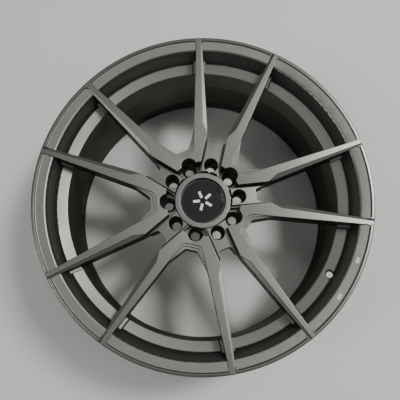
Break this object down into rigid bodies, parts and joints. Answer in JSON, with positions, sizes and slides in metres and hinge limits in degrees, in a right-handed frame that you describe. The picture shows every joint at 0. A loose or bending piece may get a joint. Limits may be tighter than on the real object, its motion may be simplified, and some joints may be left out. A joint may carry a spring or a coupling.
{
  "type": "forged racing wheel rim",
  "caption": "Forged and machined aluminium car wheel rim with thin split spokes in V pairs, a deep rear barrel and a clip-in centre cap.",
  "frame": {"origin": "where the wheel's axis meets the plane of the rear flange", "axes": "+Z along the wheel's axis, out through the front face; +X through the valve hole, on the axis of the first V pair"},
  "size_m": [0.5224, 0.5224, 0.241],
  "materials": {
    "forged_aluminium": "satin gunmetal paint",
    "cap_nylon": "moulded, satin",
    "cap_acrylic": "polished black",
    "mark_inlay": "white, under a clear coat",
    "spring_steel": "drawn wire"
  },
  "bodies": {
    "wheel": {"rear_flange": "forged_aluminium", "barrel": "forged_aluminium", "drop_centre": "forged_aluminium", "front_seat": "forged_aluminium", "outer_lip": "forged_aluminium", "hub": "forged_aluminium", "spoke_pair_1": "forged_aluminium", "spoke_pair_2": "forged_aluminium", "spoke_pair_3": "forged_aluminium", "spoke_pair_4": "forged_aluminium", "spoke_pair_5": "forged_aluminium", "web_pad_1": "forged_aluminium", "web_pad_2": "forged_aluminium", "web_pad_3": "forged_aluminium", "web_pad_4": "forged_aluminium", "web_pad_5": "forged_aluminium"},
    "centre_cap": {"cap_body": "cap_nylon", "cap_disc": "cap_acrylic", "cap_emblem": "mark_inlay", "cap_retaining_ring": "spring_steel"}
  },
  "joints": [
    {"name": "cap_pull", "type": "slide", "parent": "wheel", "child": "centre_cap", "axis": [0, 0, 1], "range_m": [0, 0.045]}
  ]
}
